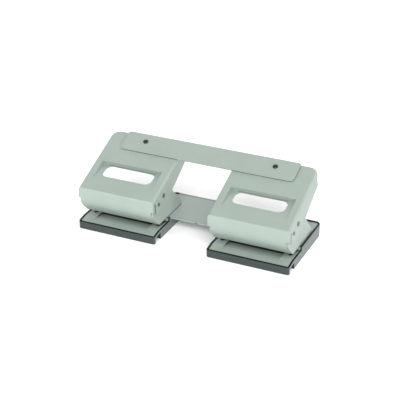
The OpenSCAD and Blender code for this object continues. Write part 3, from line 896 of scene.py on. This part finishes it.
@dataclass
class BaseFrame(SubAssembly):
    """Base plates, connecting plate, punch frames and guides.

    Attributes:
        edge: How the sheets' edges are broken.
        wall_x: Least sideways share in the normal of an upright wall.
        trough_half: Distance from the unit's middle within which a wall is the trough's.
        trough_top: Height below which such a wall is the trough's.
        throat_y: Where the throat under the nose starts, along Y.
        throat_half: Half the width of the throat.
        throat_top: Height below which a face that looks up is the throat's floor.
        ear_half: Distance from the unit's middle beyond which a wall is an ear's outside.
        foot_top: Height of the painted shade along the foot of an ear.
        rear_strip: Width of the painted shade along the connecting plate's rear edge, under the
            bar.
        unit_x: Distance of a unit's middle from the object's, along X.
        rear_line: Where that shade starts, along Y.
    """

    edge: EdgeStyle = EdgeStyle(0.2 * MM)
    wall_x: float = 0.85
    trough_half: float = 36.0 * MM
    trough_top: float = 10.4 * MM
    throat_y: float = -22.5 * MM
    throat_half: float = 42.0 * MM
    throat_top: float = 11.0 * MM
    ear_half: float = 45.0 * MM
    foot_top: float = 16.1 * MM
    rear_strip: float = 3.0 * MM
    unit_x: float = field(init=False)
    rear_line: float = field(init=False)

    def __post_init__(self) -> None:
        """Take the units' middle and the front of the rear shade from the frame."""
        self.unit_x = centre_x("right_base_plate")
        self.rear_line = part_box("connecting_plate")[1].y - self.rear_strip

    def _base_zone(self, face: Face) -> Zone:
        """Name the zone of a base plate's face.

        Args:
            face: Face to judge.

        Returns:
            Painted shade on the trough's side walls and on the throat's floor, or the plain
            rest.
        """
        middle = face.calc_center_median()
        off_centre = abs(abs(middle.x) - self.unit_x)
        on_wall = (
            abs(face.normal.x) > self.wall_x
            and off_centre < self.trough_half
            and middle.z < self.trough_top
        )
        in_throat = (
            face.normal.z > 0
            and off_centre < self.throat_half
            and middle.y > self.throat_y
            and middle.z < self.throat_top
        )
        return Zone.DARK if on_wall or in_throat else Zone.PLAIN

    def _ear_zone(self, face: Face) -> Zone:
        """Name the zone of a punch frame's face.

        Args:
            face: Face to judge.

        Returns:
            Painted shade along the outer foot of each ear, or the plain rest.
        """
        middle = face.calc_center_median()
        at_foot = (
            abs(face.normal.x) > self.wall_x
            and abs(abs(middle.x) - self.unit_x) > self.ear_half
            and middle.z < self.foot_top
        )
        return Zone.DARK if at_foot else Zone.PLAIN

    def _plate_zone(self, face: Face) -> Zone:
        """Name the zone of the connecting plate's face: painted shade along the rear edge."""
        return Zone.SHADE if face.calc_center_median().y > self.rear_line else Zone.PLAIN

    def build(self) -> Iterator[bpy.types.Object]:
        """Build and dress the pieces, one after the other.

        Yields:
            Each piece.
        """
        yield self.soften(
            "connecting_plate", Body.BASE, Slot.SHEET, self.edge,
            self._plate_zone, (Cut(ALONG_Y, self.rear_line),),
        )
        for unit in Unit:
            yield self.soften(
                f"{unit.value}_base_plate", Body.BASE, Slot.SHEET, self.edge,
                self._base_zone, (Cut(ALONG_Y, self.throat_y),),
            )
            yield self.soften(
                f"{unit.value}_punch_frame", Body.BASE, Slot.SHEET, self.edge,
                self._ear_zone, (Cut(ALONG_Z, self.foot_top, sideways_only=True),),
            )
            yield self.soften(f"{unit.value}_upper_guide", Body.BASE, Slot.BRIGHT, self.edge)
            yield self.dress(f"{unit.value}_frame_rivets", Slot.BRIGHT)


@dataclass
class Punches(SubAssembly):
    """Punches, caps and return springs.

    Attributes:
        coil: Sizes of the return springs.
    """

    coil: CoilSize = CoilSize()

    def build(self) -> Iterator[bpy.types.Object]:
        """Build and dress the pieces, one after the other.

        Yields:
            Each piece.
        """
        for unit in Unit:
            for place in Place:
                for part in ("punch", "cap"):
                    yield self.dress(f"{unit.value}_{place.value}_{part}", Slot.BRIGHT)
                yield ReturnSpring(unit, place, self.palette, self.coil).build()


@dataclass
class Levers(SubAssembly):
    """Both levers with their pins, the handle bar and its screws.

    Attributes:
        edge: How the levers' edges are broken.
        bar_edge: How the handle bar's edges are broken.
        pin_edge: How the pins' and the screws' edges are broken.
        seam_front: Front of the painted shade at the open seam beside each nose, along Y.
        seam_rear: Rear of the painted shade, along Y.
        seam_top: Height at which the seam and its painted shade end.
        flank_x: Least sideways share in the normal of a face beside a seam.
        panel_share: Least share of the top panel's normal in the normal of a face on it.
        hollow_half: Half the width of the strip of painted shade above each finger slot.
        hollow_low: Lower end of the strip, along the panel's climb.
        hollow_top: Upper end of the strip, along the panel's climb.
        wall_rise: Share of the panel's normal below which a face is the bar's wall.
        inner_flank: Where the bar starts to lie on a lever, along X.
        unit_x: Distance of a unit's middle from the object's, along X.
        up: Upward normal of the levers' top panel.
        climb: Direction up the panel, towards the rear.
        bar_middle: Middle of the bar's thickness, along the panel's normal.
    """

    edge: EdgeStyle = EdgeStyle(0.25 * MM)
    bar_edge: EdgeStyle = EdgeStyle(0.35 * MM, 3)
    pin_edge: EdgeStyle = EdgeStyle(0.15 * MM)
    seam_front: float = -44.6 * MM
    seam_rear: float = -42.4 * MM
    seam_top: float = 47.3 * MM
    flank_x: float = 0.8
    panel_share: float = 0.5
    hollow_half: float = 30.0 * MM
    hollow_low: float = 17.6 * MM
    hollow_top: float = 22.5 * MM
    wall_rise: float = 0.5
    inner_flank: float = 33.0 * MM
    unit_x: float = field(init=False)
    up: Vector = field(init=False)
    climb: Vector = field(init=False)
    bar_middle: float = field(init=False)

    def __post_init__(self) -> None:
        """Take the units' middle, the top panel's slope and the bar's middle from the frame."""
        self.unit_x = centre_x("right_lever")
        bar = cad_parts["handle_bar"].data
        # the bar lies on the panel, so its largest face has the panel's normal
        self.up = max(bar.polygons, key=lambda face: face.area).normal.copy()
        if self.up.z < 0:
            self.up.negate()
        self.climb = Vector((0.0, self.up.z, -self.up.y))
        heights = [vertex.co.dot(self.up) for vertex in bar.vertices]
        self.bar_middle = (min(heights) + max(heights)) / 2

    def _lever_zone(self, face: Face) -> Zone:
        """Name the zone of a lever's face.

        Args:
            face: Face to judge.

        Returns:
            Painted shade beside the seams, painted half shade above the finger slot, or the
            plain rest.
        """
        middle = face.calc_center_median()
        beside_seam = (
            self.seam_front < middle.y < self.seam_rear
            and middle.z < self.seam_top
            and abs(face.normal.x) > self.flank_x
        )
        above_slot = (
            self.hollow_low < middle.dot(self.climb) < self.hollow_top
            and face.normal.dot(self.up) > self.panel_share
            and abs(abs(middle.x) - self.unit_x) < self.hollow_half
        )
        if beside_seam:
            return Zone.DARK
        return Zone.SHADE if above_slot else Zone.PLAIN

    def _bar_zone(self, face: Face) -> Zone:
        """Name the zone of the handle bar's face.

        Args:
            face: Face to judge.

        Returns:
            Painted contact shadow on the lower half of the wall over a lever, or the plain
            rest.
        """
        middle = face.calc_center_median()
        on_low_wall = (
            middle.dot(self.up) < self.bar_middle
            and face.normal.dot(self.up) < self.wall_rise
            and abs(middle.x) > self.inner_flank
        )
        return Zone.DARK if on_low_wall else Zone.PLAIN

    def build(self) -> Iterator[bpy.types.Object]:
        """Build and dress the pieces, one after the other.

        Yields:
            Each piece.
        """
        lever_cuts = (
            Cut(ALONG_Y, self.seam_front, sideways_only=True),
            Cut(ALONG_Y, self.seam_rear, sideways_only=True),
            Cut(ALONG_Z, self.seam_top, sideways_only=True),
            Cut(tuple(self.climb), self.hollow_low),
            *(
                Cut(ALONG_X, unit * self.unit_x + side * self.hollow_half)
                for unit in (-1, 1) for side in (-1, 1)
            ),
        )
        for unit in Unit:
            yield self.soften(
                f"{unit.value}_lever", Body.LEVER, Slot.LEVER, self.edge,
                self._lever_zone, lever_cuts,
            )
            yield self.soften(
                f"{unit.value}_pusher_pin", Body.LEVER, Slot.DARK, self.pin_edge
            )
            yield self.soften(f"{unit.value}_pivot_pin", Body.BASE, Slot.DARK, self.pin_edge)
        bar_cuts = (
            Cut(tuple(self.up), self.bar_middle),
            Cut(ALONG_X, self.inner_flank),
            Cut(ALONG_X, -self.inner_flank),
        )
        yield self.soften(
            "handle_bar", Body.LEVER, Slot.LEVER, self.bar_edge, self._bar_zone, bar_cuts
        )
        yield self.soften("bar_screws", Body.LEVER, Slot.SCREW, self.pin_edge)
        yield self.dress("bar_nuts", Slot.BRIGHT)


# ---------------------------------------------------------------------------------------
# Stage
# ---------------------------------------------------------------------------------------


def bearing(azimuth: float, elevation: float) -> Vector:
    """Find the direction from the object to a camera or a light.

    Args:
        azimuth: Angle from the front towards the right, in degrees.
        elevation: Angle above the table, in degrees.

    Returns:
        The direction, with length 1.
    """
    turn, climb = math.radians(azimuth), math.radians(elevation)
    return Vector(
        (math.sin(turn) * math.cos(climb), -math.cos(turn) * math.cos(climb), math.sin(climb))
    )


def facing(back: Vector) -> Quaternion:
    """Turn a camera or a light that stands in a direction so that it faces the object."""
    return (-back).to_track_quat("-Z", "Y")


@dataclass(frozen=True)
class CameraFit:
    """The photo's camera, found by fitting the part's corners to the picture.

    Attributes:
        azimuth: Angle from the front towards the right, in degrees.
        elevation: Angle above the table, in degrees.
        roll: Turn about the line of sight, in degrees.
        distance: Distance from the target.
        focal_pixels: Focal length, in pixels of the picture.
        picture: Side of the picture, in pixels.
        sensor: Width of the sensor, in millimetres.
        centre_x: How far the line of sight is right of the picture's middle, in pixels.
        centre_y: How far it is below the middle, in pixels.
        target: Point that the camera looks at.
        near: Nearest distance that it shows.
        far: Furthest distance that it shows.
    """

    azimuth: float = 25.52
    elevation: float = 27.59
    roll: float = -0.57
    distance: float = 1303.6 * MM
    focal_pixels: float = 1169.4
    picture: float = 400.0
    sensor: float = 36.0
    centre_x: float = -4.93
    centre_y: float = 3.33
    target: tuple[float, float, float] = (0.0, -10.0 * MM, 40.0 * MM)
    near: float = 0.05
    far: float = 20.0

    def make(self) -> None:
        """Place the camera."""
        data = bpy.data.cameras.new("camera")
        data.sensor_width = self.sensor
        data.lens = self.focal_pixels / self.picture * self.sensor
        data.shift_x = -self.centre_x / self.picture
        data.shift_y = self.centre_y / self.picture
        data.clip_start, data.clip_end = self.near, self.far
        back = bearing(self.azimuth, self.elevation)
        camera = bpy.data.objects.new("camera", data)
        camera.rotation_mode = "QUATERNION"
        roll = Matrix.Rotation(math.radians(self.roll), 4, back)
        camera.rotation_quaternion = (roll @ facing(back).to_matrix().to_4x4()).to_quaternion()
        camera.location = Vector(self.target) + back * self.distance
        bpy.context.scene.collection.objects.link(camera)
        bpy.context.scene.camera = camera


@dataclass(frozen=True)
class Sun:
    """A soft distant light.

    Attributes:
        name: Name of the light.
        azimuth: Angle from the front towards the right, in degrees.
        elevation: Angle above the table, in degrees.
        strength: Strength in watts per square metre.
        spread: Width of the light in the sky, in degrees.
        distance: Where the light's object stands, which doesn't change the light.
    """

    name: str
    azimuth: float
    elevation: float
    strength: float
    spread: float
    distance: float = 2.0

    def make(self) -> None:
        """Place the light."""
        data = bpy.data.lights.new(self.name, "SUN")
        data.energy = self.strength
        data.angle = math.radians(self.spread)
        back = bearing(self.azimuth, self.elevation)
        light = bpy.data.objects.new(self.name, data)
        light.rotation_mode = "QUATERNION"
        light.rotation_quaternion = facing(back)
        light.location = back * self.distance
        bpy.context.scene.collection.objects.link(light)


@dataclass(frozen=True)
class Studio:
    """White table, even surroundings and soft lights.

    Attributes:
        table_half: Half the side of the table, in metres.
        table_colour: Colour of the table's paper.
        table_roughness: Roughness of the paper.
        fleck: Pattern of the paper's flecks.
        fleck_share: Brightness of a fleck, as a share of the paper's.
        air: Strength of the even light from all round.
        suns: The soft lights.
    """

    table_half: float = 20.0
    table_colour: Colour = (0.96, 0.96, 0.96)
    table_roughness: float = 0.9
    fleck: Pattern = Pattern(20.0, 2.0)
    fleck_share: float = 0.995
    air: float = 0.24
    suns: tuple[Sun, ...] = (
        Sun("key", 25.0, 40.0, 3.1, 40.0),
        Sun("low", 50.0, 5.0, 2.6, 20.0),
        Sun("left", -40.0, 20.0, 1.8, 50.0),
        Sun("back left", 210.0, 30.0, 0.75, 60.0),
        Sun("back right", 150.0, 30.0, 2.1, 60.0),
    )

    def make(self) -> None:
        """Build the studio."""
        self._lay_table()
        self._fill_air()
        for sun in self.suns:
            sun.make()
        bpy.context.scene.view_settings.view_transform = "Standard"

    def _lay_table(self) -> None:
        """Lay the white table under the object."""
        bm = bmesh.new()
        bmesh.ops.create_grid(bm, x_segments=2, y_segments=2, size=self.table_half)
        mesh = bpy.data.meshes.new("table")
        bm.to_mesh(mesh)
        bm.free()
        table = bpy.data.objects.new("table", mesh)
        bpy.context.scene.collection.objects.link(table)
        shader = Shader("table paper")
        flecks = shader.spread(shader.noise(self.fleck))
        fleck_colour = scaled(self.table_colour, self.fleck_share)
        shader.feed(shader.blend(flecks, fleck_colour, self.table_colour), "Base Color")
        shader.hold("Roughness", self.table_roughness)
        shader.hold("Specular IOR Level", 0.0)
        mesh.materials.append(shader.material)

    def _fill_air(self) -> None:
        """Fill the surroundings with even white light."""
        world = bpy.data.worlds.new("studio air")
        world.use_nodes = True
        bpy.context.scene.world = world
        background = world.node_tree.nodes["Background"]
        background.inputs["Color"].default_value = (1, 1, 1, 1)
        background.inputs["Strength"].default_value = self.air


def main() -> None:
    """Build the object, the studio and the camera, and report each piece."""
    logging.basicConfig(level=logging.INFO)
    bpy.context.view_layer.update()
    palette = Palette(FINISHES)
    for group in (ChipTrays(palette), BaseFrame(palette), Punches(palette), Levers(palette)):
        for piece in group.build():
            logger.info("%s: %d faces", piece.name, len(piece.data.polygons))
    Studio().make()
    CameraFit().make()


if __name__ == "__main__":
    main()
